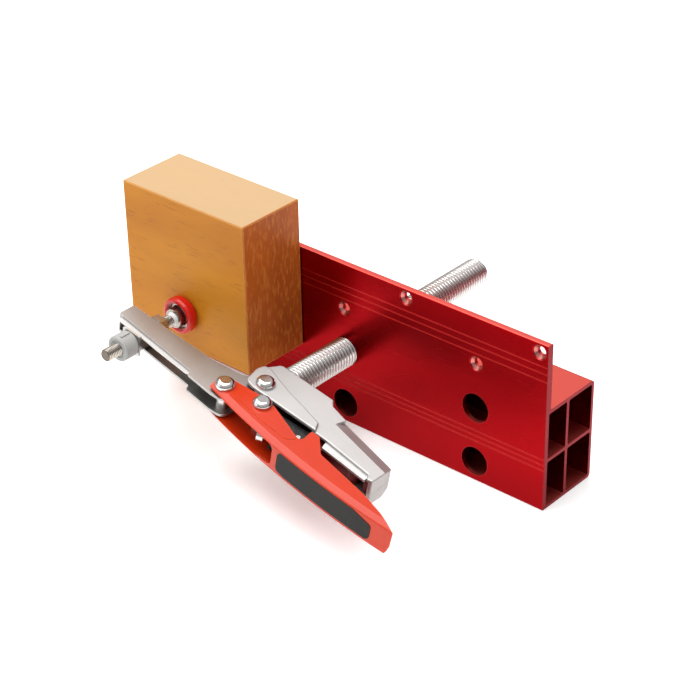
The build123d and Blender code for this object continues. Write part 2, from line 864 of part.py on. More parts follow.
with BuildPart() as pad_cap:
    add(
        turned(
            [
                (0, PAD_FACE),
                (10.8, PAD_FACE),
                (PAD_R, -51.4),
                (PAD_R, -55.4),
                (11.3, -56.8),
                (9.9, -57.2),
                (8.75, -56.6),
                (8.75, -52.95),
                (0, -52.95),
            ]
        )
    )
save(pad_cap.part, "pad_cap")

# ================================================================ wooden block
with BuildPart() as wood_block:
    block_depth = -BLOCK_FACE - FACE_GAP
    block_centre = (
        BLOCK_LOW + BLOCK_SIZE / 2,
        FRONT_Y - FACE_GAP - block_depth / 2,
        BLOCK_FLOOR + BLOCK_SIZE / 2,
    )
    with Locations(block_centre):
        Box(BLOCK_SIZE, block_depth, BLOCK_SIZE)
    chamfer(wood_block.edges(), 0.7)
save(wood_block.part, "wood_block")
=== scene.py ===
# %% [markdown]
# # A clamping fence, part by part
#
# The object is a red anodised extrusion that stands on a workbench. A threaded post goes
# through one of its round holes and carries a toggle clamp, which presses a block of wood
# against the extrusion's face. The imported model already gives every part's place and
# size, in metres, so this script only loads it, adds what a solid model leaves out (the
# screw threads, and pale rings that paint the glints of the screw holes' countersinks) and
# gives each surface its finish. Some of these finishes paint light and shade into their
# colour, as the sections below say.

# %% Load the model
import bpy
import bmesh
import json
from math import asin, cos, degrees, pi, radians, sin, sqrt
from mathutils import Matrix, Vector


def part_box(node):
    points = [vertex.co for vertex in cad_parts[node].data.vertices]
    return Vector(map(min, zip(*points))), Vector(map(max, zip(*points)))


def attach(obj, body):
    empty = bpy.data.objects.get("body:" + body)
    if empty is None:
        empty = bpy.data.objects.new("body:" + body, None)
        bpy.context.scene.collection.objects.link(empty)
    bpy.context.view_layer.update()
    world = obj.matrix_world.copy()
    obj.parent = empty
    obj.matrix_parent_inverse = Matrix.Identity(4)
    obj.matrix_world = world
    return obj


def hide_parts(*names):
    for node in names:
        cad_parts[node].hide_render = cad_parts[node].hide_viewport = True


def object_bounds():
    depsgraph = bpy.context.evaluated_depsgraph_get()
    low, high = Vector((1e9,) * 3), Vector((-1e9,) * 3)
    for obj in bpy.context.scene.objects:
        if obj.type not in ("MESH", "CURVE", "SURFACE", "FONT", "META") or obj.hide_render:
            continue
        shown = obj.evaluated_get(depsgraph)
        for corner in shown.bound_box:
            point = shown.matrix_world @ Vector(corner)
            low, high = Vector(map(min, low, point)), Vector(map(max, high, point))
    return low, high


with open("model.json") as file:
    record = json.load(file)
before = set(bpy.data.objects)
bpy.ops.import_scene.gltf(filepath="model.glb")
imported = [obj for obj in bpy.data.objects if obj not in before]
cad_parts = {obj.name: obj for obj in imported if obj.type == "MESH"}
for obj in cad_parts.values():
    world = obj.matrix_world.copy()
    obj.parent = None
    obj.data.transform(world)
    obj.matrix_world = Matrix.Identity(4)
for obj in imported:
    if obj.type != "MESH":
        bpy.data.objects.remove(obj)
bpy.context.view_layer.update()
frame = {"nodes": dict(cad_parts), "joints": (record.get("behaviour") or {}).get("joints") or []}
nodes = frame["nodes"]

# %% [markdown]
# ## The clamp's own plane
#
# The clamp leans about its post, so its parts are easiest to describe in its own plane:
# u runs across the post towards the handle's tip, v along the post towards the back of
# the fence, and h looks up out of the plane. Both the post and the spindle run along v.
# The swivel joint's place and the arm joint's axis in the record say where this plane is,
# so nothing has to be typed in twice.

# %% The clamp's plane
MILLIMETRE = 0.001
joints = {joint["name"]: joint for joint in frame["joints"]}
u_axis = Vector(joints["carriage_slide"]["axis"])
v_axis = Vector((0, 1, 0))
h_axis = Vector(joints["arm_swing"]["axis"])
fence_low, fence_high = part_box("fence_rail")
post_height = joints["clamp_swivel"]["pos_m"][2]
clamp_origin = Vector((0, fence_low.y, post_height))


def on_clamp(u, v):
    """A point of the clamp's plane, from millimetres to the model's metres."""
    return clamp_origin + (u_axis * u + v_axis * v) * MILLIMETRE


def clamp_matrix(u, v):
    """A frame at a point of the clamp, with its X along u, Y along v and Z along h."""
    turn = Matrix((u_axis, v_axis, h_axis)).transposed().to_4x4()
    return Matrix.Translation(on_clamp(u, v)) @ turn


lean = degrees(asin(h_axis.x))
print("clamp plane at", [round(c, 4) for c in clamp_origin], "leaning", round(lean, 2))

# %% [markdown]
# ## Helpers for nodes
#
# Every finish and every thread here is built from nodes. A few small functions keep that
# readable. The first ones add a node and fill its inputs, either with a value or with a
# link from another node's output. A finish that several materials share goes into a node
# group with named inputs, so that each material sets only what makes it different.

# %% Node helpers
def fill(tree, node, inputs):
    """Gives a node's inputs their values, or links them to other nodes' outputs."""
    for key, value in inputs.items():
        if isinstance(value, bpy.types.NodeSocket):
            tree.links.new(value, node.inputs[key])
        else:
            node.inputs[key].default_value = value
    return node


def add_node(tree, kind, inputs=None, **settings):
    """Adds a node, sets its properties and fills its inputs."""
    node = tree.nodes.new(kind)
    for key, value in settings.items():
        setattr(node, key, value)
    return fill(tree, node, inputs or {})


def new_group(name, inputs, outputs):
    """A shader node group. inputs gives (name, kind, default), outputs (name, kind)."""
    group = bpy.data.node_groups.new(name, "ShaderNodeTree")
    for label, kind, default in inputs:
        socket = group.interface.new_socket(label, in_out="INPUT", socket_type=kind)
        socket.default_value = default
    for label, kind in outputs:
        group.interface.new_socket(label, in_out="OUTPUT", socket_type=kind)
    return group, group.nodes.new("NodeGroupInput").outputs


def use_group(tree, group, inputs):
    """Places a node group in a material and fills its inputs."""
    placed = tree.nodes.new("ShaderNodeGroup")
    placed.node_tree = group
    return fill(tree, placed, inputs)


FLOAT, COLOR, VECTOR = "NodeSocketFloat", "NodeSocketColor", "NodeSocketVector"
INTEGER, MATERIAL = "NodeSocketInt", "NodeSocketMaterial"
GEOMETRY = "NodeSocketGeometry"
print("node helpers ready")

# %% Colours and numbers
# The Mix node has one set of sockets for each kind of value; these are its colours'
MIX_FACTOR, MIX_FIRST, MIX_SECOND, MIX_RESULT = 0, 6, 7, 2


def mix(tree, factor, first, second):
    """Mixes two colours and returns the result's socket."""
    colors = {MIX_FACTOR: factor, MIX_FIRST: first, MIX_SECOND: second}
    return add_node(tree, "ShaderNodeMix", colors, data_type="RGBA").outputs[MIX_RESULT]


def ramp(tree, value, *stops):
    """A smooth ramp of grey levels, from (position, level) stops."""
    node = add_node(tree, "ShaderNodeValToRGB", {0: value})
    elements = node.color_ramp.elements
    while len(elements) < len(stops):
        elements.new(0.5)
    for element, (position, level) in zip(elements, stops):
        element.position = position
        element.color = (level, level, level, 1)
    return node.outputs[0]


def math(tree, operation, first, second=0.0, third=0.0, clamp=False):
    """One Math node, given its inputs."""
    numbers = {0: first, 1: second, 2: third}
    return add_node(
        tree, "ShaderNodeMath", numbers, operation=operation, use_clamp=clamp
    ).outputs[0]


def vector_math(tree, operation, first, second=(0, 0, 0)):
    """One Vector Math node. A product of two directions or a length is its Value."""
    vectors = {0: first, 1: second}
    node = add_node(tree, "ShaderNodeVectorMath", vectors, operation=operation)
    return node.outputs["Value" if operation in ("DOT_PRODUCT", "LENGTH") else "Vector"]


def stretched_noise(tree, place, stretch, scale, detail=2.0, rough=0.5):
    """Noise on the piece's own coordinates, stretched by a Mapping node."""
    mapped = add_node(tree, "ShaderNodeMapping", {"Vector": place, "Scale": stretch})
    return add_node(
        tree,
        "ShaderNodeTexNoise",
        {"Vector": mapped.outputs[0], "Scale": scale, "Detail": detail, "Roughness": rough},
    ).outputs["Fac"]


print("colour and number helpers ready")

# %% Material helpers
def new_material(name, metallic=0.0, roughness=0.5, **sockets):
    """A material with a Principled shader, and the piece's Object coordinates."""
    material = bpy.data.materials.new(name)
    material.use_nodes = True
    tree = material.node_tree
    shader = tree.nodes["Principled BSDF"]
    shader.inputs["Metallic"].default_value = metallic
    shader.inputs["Roughness"].default_value = roughness
    for key, value in sockets.items():
        shader.inputs[key.replace("_", " ")].default_value = value
    place = tree.nodes.new("ShaderNodeTexCoord").outputs["Object"]
    return material, tree, shader, place


def bump(tree, height, strength, distance):
    """A Bump node, returning its normal."""
    inputs = {"Height": height, "Strength": strength, "Distance": distance}
    return add_node(tree, "ShaderNodeBump", inputs).outputs[0]


def surface_normal(tree):
    """The direction that the shaded face looks in."""
    return tree.nodes.new("ShaderNodeNewGeometry").outputs["Normal"]


print("material helpers ready")

# %% [markdown]
# ## A worn edge
#
# Handled edges lose a little of their coating and shine. The Bevel node compares the
# real normal with one that is rounded over a small radius: where they differ, there is an
# edge. Broken up by noise, that difference is the mask of wear for painted and plated
# parts alike. On the fence and on the wood block the same mask places a painted pale
# highlight instead.

# %% Edge wear group
WEAR_CONTRAST = 6.0
WEAR_PATCH_SCALE = 260.0
WEAR_LEVEL = 1.15


def edge_wear_group():
    """A node group whose Mask is one on bare edges and zero on flat faces."""
    group, given = new_group(
        "edge wear",
        [("Place", VECTOR, (0, 0, 0)), ("Width", FLOAT, 0.0006), ("Break up", FLOAT, 0.6)],
        [("Mask", FLOAT)],
    )
    rounded = add_node(group, "ShaderNodeBevel", {"Radius": given["Width"]}, samples=4)
    meeting = vector_math(group, "DOT_PRODUCT", rounded.outputs[0], surface_normal(group))
    edge = math(group, "SUBTRACT", 1.0, meeting, clamp=True)
    edge = math(group, "MULTIPLY", edge, WEAR_CONTRAST, clamp=True)
    noise = {"Vector": given["Place"], "Scale": WEAR_PATCH_SCALE, "Detail": 3.0}
    patches = add_node(group, "ShaderNodeTexNoise", noise).outputs["Fac"]
    patches = math(group, "MULTIPLY", patches, given["Break up"])
    left = math(group, "SUBTRACT", WEAR_LEVEL, patches, clamp=True)
    mask = math(group, "MULTIPLY", edge, left, clamp=True)
    out = group.nodes.new("NodeGroupOutput")
    group.links.new(mask, out.inputs["Mask"])
    return group


edge_wear = edge_wear_group()
print("group:", edge_wear.name)

# %% [markdown]
# ## Plated steel
#
# Nickel and zinc plating over pressed steel is never an even mirror: it has soft cloudy
# patches, hair-fine rubbing marks along the length of the part, and brighter edges. One
# group gives the colour, the roughness and the height of that, and each metal sets its
# own tone and strength.

# %% Plated steel group
def plated_group():
    """A node group that gives a plated metal's colour, roughness and height."""
    group, given = new_group(
        "plated steel",
        [
            ("Place", VECTOR, (0, 0, 0)),
            ("Tone", COLOR, (0.6, 0.6, 0.6, 1)),
            ("Shade", COLOR, (0.4, 0.4, 0.4, 1)),
            ("Edge tone", COLOR, (0.8, 0.8, 0.8, 1)),
            ("Gloss", FLOAT, 0.3),
            ("Clouds", FLOAT, 0.5),
            ("Edges", FLOAT, 0.0),
        ],
        [("Color", COLOR), ("Roughness", FLOAT), ("Height", FLOAT)],
    )
    clouds = stretched_noise(group, given["Place"], (1, 1, 1), 55.0, 4.0, 0.6)
    hairs = stretched_noise(group, given["Place"], (0.06, 1, 1), 2600.0, 3.0, 0.7)
    cloudy = ramp(group, clouds, (0.32, 0.0), (0.72, 1.0))
    shade_mix = math(group, "MULTIPLY", cloudy, given["Clouds"])
    body = mix(group, shade_mix, given["Tone"], given["Shade"])
    color = mix(group, given["Edges"], body, given["Edge tone"])
    uneven = math(group, "MULTIPLY", cloudy, 0.10)
    roughness = math(group, "ADD", given["Gloss"], uneven)
    rubbed = math(group, "MULTIPLY", hairs, 0.10)
    roughness = math(group, "ADD", roughness, rubbed)
    roughness = math(group, "SUBTRACT", roughness, 0.05, clamp=True)
    out = group.nodes.new("NodeGroupOutput")
    group.links.new(color, out.inputs["Color"])
    group.links.new(roughness, out.inputs["Roughness"])
    group.links.new(hairs, out.inputs["Height"])
    return group


plated = plated_group()
print("group:", plated.name)

# %% [markdown]
# ## The metals
#
# The clamp's two shells are satin nickel outside. Inside they are painted dark red, for the
# shade there and the red of the handle that they reflect, and the toggle link and spacers
# are painted the same way. The inside faces all look at the clamp's own plane, so a normal
# that points at that plane, from above or from below, tells them apart without cutting the
# shells in two. The rivets are polished chrome, and the other metals differ in how grey,
# how cloudy and how dull they are.

# %% The metals
BARE_EDGE_TONE = (0.93, 0.93, 0.92, 1)
METAL_EDGE_WIDTH = 0.0005
HAIR_DEPTH = 0.0001
FACING_INWARD = -0.5


def inner_faces(tree, place):
    """One on the faces that look at the clamp's own plane from either side, else zero."""
    level = clamp_origin.dot(h_axis)
    height = vector_math(tree, "DOT_PRODUCT", place, tuple(h_axis))
    side = math(tree, "SIGN", math(tree, "SUBTRACT", height, level))
    leaning = vector_math(tree, "DOT_PRODUCT", surface_normal(tree), tuple(h_axis))
    return math(tree, "LESS_THAN", math(tree, "MULTIPLY", leaning, side), FACING_INWARD)


def plated_material(
    name, tone, shade, gloss, clouds=0.5, hair=0.05, edge=0.5, metallic=1.0, inner_red_reflection=None
):
    """A plated metal from the group, with its own tones and strengths, and painted dark red on
    its inner faces when that red is given.
    """
    material, tree, shader, place = new_material(name, metallic=metallic)
    worn = use_group(tree, edge_wear, {"Place": place, "Width": METAL_EDGE_WIDTH})
    mask = math(tree, "MULTIPLY", worn.outputs["Mask"], edge)
    finish = use_group(
        tree,
        plated,
        {
            "Place": place,
            "Tone": (*tone, 1),
            "Shade": (*shade, 1),
            "Edge tone": BARE_EDGE_TONE,
            "Gloss": gloss,
            "Clouds": clouds,
            "Edges": mask,
        },
    )
    color = finish.outputs["Color"]
    # Painted shade and reflection: the inner faces are painted dark red, for the shade there and
    # the handle's red
    if inner_red_reflection:
        color = mix(tree, inner_faces(tree, place), color, (*inner_red_reflection, 1))
    normal = bump(tree, finish.outputs["Height"], hair, HAIR_DEPTH)
    surface = {"Base Color": color, "Roughness": finish.outputs["Roughness"], "Normal": normal}
    fill(tree, shader, surface)
    return material


# The shells' dark red inner colour is painted shade and reflected red
satin_nickel = plated_material(
    "satin nickel", (0.47, 0.463, 0.452), (0.41, 0.40, 0.39), gloss=0.44, edge=0.7,
    metallic=0.8, inner_red_reflection=(0.10, 0.002, 0.003),
)
arm_nickel = plated_material(
    "dull nickel", (0.38, 0.37, 0.36), (0.31, 0.30, 0.29), gloss=0.36, edge=0.8
)
bright_nickel = plated_material(
    "bright nickel", (0.66, 0.65, 0.63), (0.50, 0.48, 0.46), gloss=0.20
)
zinc = plated_material("bright zinc", (0.52, 0.51, 0.50), (0.36, 0.35, 0.33), gloss=0.26)
chrome = plated_material(
    "polished chrome", (0.62, 0.61, 0.60), (0.52, 0.51, 0.50), gloss=0.09, clouds=0.3,
    hair=0.02, edge=0.2,
)
toothed_steel = plated_material(
    "brushed steel", (0.60, 0.595, 0.585), (0.52, 0.51, 0.50), gloss=0.42, edge=0.3,
    metallic=0.85,
)
# Painted shade and reflection: the link and spacers are painted dark red, for the shade inside
# the clamp and the handle's red
red_reflection_steel = plated_material(
    "steel painted with red reflection", (0.12, 0.003, 0.004), (0.08, 0.002, 0.003), gloss=0.35, edge=0.05,
    metallic=0.6,
)
turned_steel = plated_material(
    "turned steel", (0.36, 0.32, 0.28), (0.26, 0.23, 0.20), gloss=0.18
)
# Painted highlight: the pale pink of the countersink rings stands for their glints
countersink_glint = plated_material(
    "countersink glint pink", (0.58, 0.22, 0.20), (0.42, 0.12, 0.11), gloss=0.22, edge=0.0
)
metals = (
    satin_nickel, arm_nickel, bright_nickel, zinc, chrome, toothed_steel, red_reflection_steel,
    turned_steel, countersink_glint,
)
print("metals:", [metal.name for metal in metals])

# %% [markdown]
# ## Red anodised aluminium
#
# Anodising dyes the metal's own skin, so the finish keeps the metal's sheen and shows the
# long die lines of the extrusion. The two sawn ends are duller than the drawn faces. The
# faces that look up are painted paler, and the edges get a pale painted highlight, for the
# light that they catch. Six fine grooves run along the working face. They catch the light
# as thin pale lines, so the material paints them as highlights by their height.

# %% Anodised finish
GROOVE_HEIGHTS = (0.0279, 0.0316, 0.0352, 0.088, 0.093, 0.0975)
GROOVE_HALF = 0.0004
FACE_SKIN = 0.0012
SAWN_SKIN = 0.00025
DEEP_RED, DARK_RED = (0.37, 0.0008, 0.004, 1), (0.29, 0.0006, 0.003, 1)
# Painted light: the dusty red of the upward faces and the thin red of the edges and grooves
# stand for the light that they catch
DIE_LINE_RED, TOP_SHEEN_RED = (0.46, 0.003, 0.010, 1), (0.78, 0.135, 0.105, 1)
EDGE_HIGHLIGHT_RED, SAWN_RED = (0.90, 0.12, 0.11, 1), (0.20, 0.010, 0.016, 1)


def anodised_material():
    """The fence's finish: dyed metal with die lines and sawn ends, and painted highlights on its
    grooves, edges and upward faces.
    """
    material, tree, shader, place = new_material("red anodising", metallic=1.0)
    die_lines = stretched_noise(tree, place, (0.004, 1, 1), 3200.0, 3.0, 0.6)
    clouds = stretched_noise(tree, place, (0.4, 1, 1), 24.0, 3.0, 0.6)
    cloudy = ramp(tree, clouds, (0.3, 0.0), (0.75, 1.0))
    dyed = mix(tree, cloudy, DEEP_RED, DARK_RED)
    lined = mix(tree, math(tree, "MULTIPLY", die_lines, 0.10), dyed, DIE_LINE_RED)
    # Painted light: the faces that look up are painted paler, for the overhead light that they
    # catch
    upward = add_node(tree, "ShaderNodeSeparateXYZ", {0: surface_normal(tree)}).outputs["Z"]
    painted_top_sheen = ramp(tree, upward, (0.55, 0.0), (0.90, 1.0))
    lined = mix(tree, math(tree, "MULTIPLY", painted_top_sheen, 0.75), lined, TOP_SHEEN_RED)
    # Painted highlight: the edges are painted pale pink, for the light that they catch
    worn = use_group(tree, edge_wear, {"Place": place, "Width": 0.0007, "Break up": 0.7})
    edge = math(tree, "MULTIPLY", worn.outputs["Mask"], 0.40)
    # Painted highlight: the grooves are painted pale, for the light that they catch; the edge
    # highlight is weaker off the face
    split = add_node(tree, "ShaderNodeSeparateXYZ", {0: place}).outputs
    for groove_height in GROOVE_HEIGHTS:
        groove_highlight = math(tree, "COMPARE", split["Z"], groove_height, GROOVE_HALF)
        edge = math(tree, "MAXIMUM", edge, math(tree, "MULTIPLY", groove_highlight, 0.38))
    on_face = math(tree, "LESS_THAN", split["Y"], fence_low.y + FACE_SKIN)
    edge = math(tree, "MULTIPLY", edge, math(tree, "MAXIMUM", on_face, 0.6))
    # The sawn ends: the mask is one in the last quarter millimetre of length
    from_middle = math(tree, "ABSOLUTE", split["X"])
    sawn = math(tree, "GREATER_THAN", from_middle, fence_high.x - SAWN_SKIN)
    highlighted = mix(tree, edge, lined, EDGE_HIGHLIGHT_RED)
    color = mix(tree, math(tree, "MULTIPLY", sawn, 0.8), highlighted, SAWN_RED)
    rough = math(tree, "MULTIPLY_ADD", cloudy, 0.06, 0.25)
    rough = math(tree, "ADD", rough, math(tree, "MULTIPLY", sawn, 0.15))
    rough = math(tree, "ADD", rough, math(tree, "MULTIPLY", painted_top_sheen, 0.20))
    normal = bump(tree, die_lines, 0.04, 0.0001)
    fill(tree, shader, {"Base Color": color, "Roughness": rough, "Normal": normal})
    return material


anodised = anodised_material()
print("finish:", anodised.name)

# %% [markdown]
# ## Varnished hardwood
#
# The block is a close-grained hardwood with a clear varnish. Its broad faces show faint
# darker bands and many short pores, all running along X. The end grain, on the two X
# faces, is darker and shows short flecks that stand upright. Both patterns come from
# noise stretched in the direction of the fibres, and the face that is being shaded picks
# one of them by its normal. The top face is painted paler and the edges get a pale
# painted highlight, for the light that they catch.

# %% Wood
HONEY, AMBER = (0.53, 0.204, 0.010, 1), (0.44, 0.152, 0.007, 1)
# Painted light: the pale top tone and the worn wood tone stand for the light on the top and on
# the edges
PORE_BROWN, PAINTED_TOP_LIGHT = (0.28, 0.088, 0.010, 1), (0.49, 0.345, 0.20, 1)
END_BROWN, END_DARK = (0.46, 0.105, 0.012, 1), (0.34, 0.070, 0.009, 1)
FLECK_TONE, EDGE_HIGHLIGHT_WOOD = (0.60, 0.21, 0.04, 1), (0.66, 0.38, 0.13, 1)


def wood_material():
    """Varnished wood: long grain on four sides and end grain on the two X faces."""
    material, tree, shader, place = new_material(
        "varnished wood", roughness=0.50, Coat_Weight=0.08, Coat_Roughness=0.18,
        Specular_IOR_Level=0.15,
    )
    facing = add_node(tree, "ShaderNodeSeparateXYZ", {0: surface_normal(tree)}).outputs
    end_face = math(tree, "ABSOLUTE", facing["X"])
    end_face = ramp(tree, end_face, (0.55, 0.0), (0.75, 1.0))
    # Broad bands and short pores of the long grain
    bands = stretched_noise(tree, place, (0.25, 1, 0.9), 34.0, 4.0, 0.55)
    pores = stretched_noise(tree, place, (0.10, 1, 1), 1100.0, 2.0, 0.5)
    pores = ramp(tree, pores, (0.56, 0.0), (0.70, 1.0))
    patchy = stretched_noise(tree, place, (0.5, 1, 1), 120.0, 2.0, 0.5)
    patchy = ramp(tree, patchy, (0.42, 0.0), (0.62, 1.0))
    pores = math(tree, "MULTIPLY", pores, patchy)
    band = ramp(tree, bands, (0.35, 0.0), (0.68, 1.0))
    long_grain = mix(tree, band, HONEY, AMBER)
    pore_mask = math(tree, "MULTIPLY", pores, 0.65)
    long_grain = mix(tree, pore_mask, long_grain, PORE_BROWN)
    # Painted light: the face that looks up is painted paler, for the overhead light that it
    # catches
    upward = ramp(tree, facing["Z"], (0.6, 0.0), (0.9, 1.0))
    painted_top_light = math(tree, "MULTIPLY", upward, 0.85)
    long_grain = mix(tree, painted_top_light, long_grain, PAINTED_TOP_LIGHT)
    # Upright flecks of the end grain
    flecks = stretched_noise(tree, place, (1, 1, 0.28), 520.0, 3.0, 0.6)
    fleck = ramp(tree, flecks, (0.50, 0.0), (0.64, 1.0))
    rings = stretched_noise(tree, place, (1, 1, 0.35), 42.0, 3.0, 0.5)
    ring = ramp(tree, rings, (0.35, 0.0), (0.7, 1.0))
    end_grain = mix(tree, ring, END_BROWN, END_DARK)
    end_grain = mix(tree, math(tree, "MULTIPLY", fleck, 0.5), end_grain, FLECK_TONE)
    color = mix(tree, end_face, long_grain, end_grain)
    # Painted highlight: the edges are painted pale, for the light that they catch
    worn = use_group(tree, edge_wear, {"Place": place, "Width": 0.0014, "Break up": 0.5})
    edge_highlight = math(tree, "MULTIPLY", worn.outputs["Mask"], 0.45)
    color = mix(tree, edge_highlight, color, EDGE_HIGHLIGHT_WOOD)
    height = math(tree, "SUBTRACT", 1.0, pores)
    fill(tree, shader, {"Base Color": color, "Normal": bump(tree, height, 0.15, 0.00012)})
    return material


wood = wood_material()
print("finish:", wood.name)

# %% [markdown]
# ## Powder coat, rubber and plastics
#
# The handle's powder coat melts into a skin with a fine orange peel, so its height is a
# small round noise under a glossy surface. The rubber pad is smooth and glossy too, and
# the moulded plastics carry the fine spark-eroded grain of their moulds. One function
# makes them all from the size and depth of that grain, both in metres.

# %% Moulded and coated finishes
SPECKLE_TONE = (0.16, 0.16, 0.155, 1)
COATING_EDGE_WIDTH = 0.0006
COAT_ROUGHNESS = 0.12


def coated_material(
    name, tone, shade, edge_tone, grain, depth, roughness, coat=0.0, speckle=0.0
):
    """A coating or a plastic: two close tones, a grain of a given size, and its edges."""
    material, tree, shader, place = new_material(
        name, roughness=roughness, Coat_Weight=coat, Coat_Roughness=COAT_ROUGHNESS,
        Specular_IOR_Level=0.3,
    )
    clouds = stretched_noise(tree, place, (1, 1, 1), 40.0, 3.0, 0.6)
    peel = stretched_noise(tree, place, (1, 1, 1), 1.0 / grain, 2.0, 0.55)
    color = mix(tree, ramp(tree, clouds, (0.3, 0.0), (0.7, 1.0)), (*tone, 1), (*shade, 1))
    if speckle:
        dots = ramp(tree, peel, (0.52, 0.0), (0.62, 1.0))
        color = mix(tree, math(tree, "MULTIPLY", dots, speckle), color, SPECKLE_TONE)
    worn = use_group(tree, edge_wear, {"Place": place, "Width": COATING_EDGE_WIDTH})
    mask = math(tree, "MULTIPLY", worn.outputs["Mask"], 0.5)
    color = mix(tree, mask, color, (*edge_tone, 1))
    uneven = math(tree, "MULTIPLY_ADD", clouds, 0.12, roughness - 0.06)
    normal = bump(tree, peel, 0.5, depth)
    fill(tree, shader, {"Base Color": color, "Roughness": uneven, "Normal": normal})
    return material


powder_coat = coated_material(
    "orange powder coat", (0.56, 0.032, 0.004), (0.51, 0.027, 0.003), (0.95, 0.14, 0.04),
    grain=0.0007, depth=0.00002, roughness=0.24, coat=0.10,
)
grip_plastic = coated_material(
    "grip plastic", (0.010, 0.010, 0.009), (0.007, 0.007, 0.006), (0.05, 0.05, 0.047),
    grain=0.00025, depth=0.00006, roughness=0.60, speckle=0.05,
)
housing_plastic = coated_material(
    "housing plastic", (0.010, 0.010, 0.010), (0.006, 0.006, 0.006), (0.05, 0.05, 0.05),
    grain=0.0011, depth=0.0006, roughness=0.42, speckle=0.08,
)
knob_plastic = coated_material(
    "knob plastic", (0.40, 0.40, 0.39), (0.35, 0.35, 0.34), (0.52, 0.52, 0.51),
    grain=0.0004, depth=0.00003, roughness=0.5,
)
pad_rubber = coated_material(
    "pad rubber", (0.62, 0.012, 0.006), (0.55, 0.010, 0.005), (0.85, 0.08, 0.04),
    grain=0.0012, depth=0.00002, roughness=0.22, coat=0.15,
)
coatings = (powder_coat, grip_plastic, housing_plastic, knob_plastic, pad_rubber)
print("coatings:", [coating.name for coating in coatings])

# %% [markdown]
# ## Giving the solid parts their finish
#
# Most parts keep their exact shape from the model and only need a finish, so one table
# says which finish belongs to which part. The threaded post and the spindle are in it
# too, although two detailed pieces take their places further down.

# %% Finishes on the solid parts
finishes = {
    "fence_rail": anodised,
    "wood_block": wood,
    "threaded_post": zinc,
    "body_shell_top": satin_nickel,
    "body_shell_bottom": satin_nickel,
    "post_socket": zinc,
    "clutch_plates": toothed_steel,
    "shell_spacers": red_reflection_steel,
    "arm_pivot_rivet": chrome,
    "arm_pivot_washers": zinc,
    "clamp_arm": arm_nickel,
    "arm_liner": toothed_steel,
    "handle_pivot_sleeve": bright_nickel,
    "handle": powder_coat,
    "grip_inlay": grip_plastic,
    "handle_pivot_rivet": chrome,
    "handle_pivot_washers": zinc,
    "link_pivot_rivet": chrome,
    "link_pivot_washers": zinc,
    "toggle_link": red_reflection_steel,
    "link_end_pin": bright_nickel,
    "adjuster_housing": housing_plastic,
    "housing_pin": bright_nickel,
    "adjusting_screw": bright_nickel,
    "slide_block": zinc,
    "rear_washer": zinc,
    "rear_nut": zinc,
    "thumb_nut": knob_plastic,
    "spindle": bright_nickel,
    "pad_cap": pad_rubber,
    "pad_dish": turned_steel,
}
for name, material in finishes.items():
    mesh = nodes[name].data
    mesh.materials.clear()
    mesh.materials.append(material)
print("finished parts:", len(finishes))

# %% [markdown]
# ## Screw threads
#
# A thread is a cylinder whose radius dips in a groove that climbs one pitch for each turn.
# The tree below starts from a plain closed cylinder along Z and scales every point's
# distance from the axis: by the groove, by the chamfers at both ends, and by a thinner
# neck at the upper end. The long post and the spindle are the same tree with other sizes.

# %% Thread tree
THREAD_SIZES = (
    ("Radius", 0.009), ("Length", 0.1), ("Pitch", 0.002), ("Depth", 0.0008),
    ("Chamfer", 0.001), ("Neck radius", 0.009), ("Neck length", 0.0),
)
THREAD_COUNTS = (("Segments", 32), ("Rings", 32))
GROOVE_REACH, GROOVE_SLOPE = 1.15, 2.6


def new_tree(name, sizes, counts=(), takes_geometry=False):
    """A geometry tree with named sizes, counts and a Finish as its inputs."""
    tree = bpy.data.node_groups.new(name, "GeometryNodeTree")
    if takes_geometry:
        tree.interface.new_socket("Geometry", in_out="INPUT", socket_type=GEOMETRY)
    for kind, defaults in ((FLOAT, sizes), (INTEGER, counts)):
        for label, default in defaults:
            socket = tree.interface.new_socket(label, in_out="INPUT", socket_type=kind)
            socket.default_value = default
    tree.interface.new_socket("Finish", in_out="INPUT", socket_type=MATERIAL)
    tree.interface.new_socket("Geometry", in_out="OUTPUT", socket_type=GEOMETRY)
    return tree


def end_tree(tree, geometry, finish):
    """Ends a tree in real geometry that carries its finish."""
    real = add_node(tree, "GeometryNodeRealizeInstances", {0: geometry}).outputs[0]
    finished = add_node(
        tree, "GeometryNodeSetMaterial", {"Geometry": real, "Material": finish}
    )
    out = tree.nodes.new("NodeGroupOutput")
    tree.links.new(finished.outputs[0], out.inputs[0])


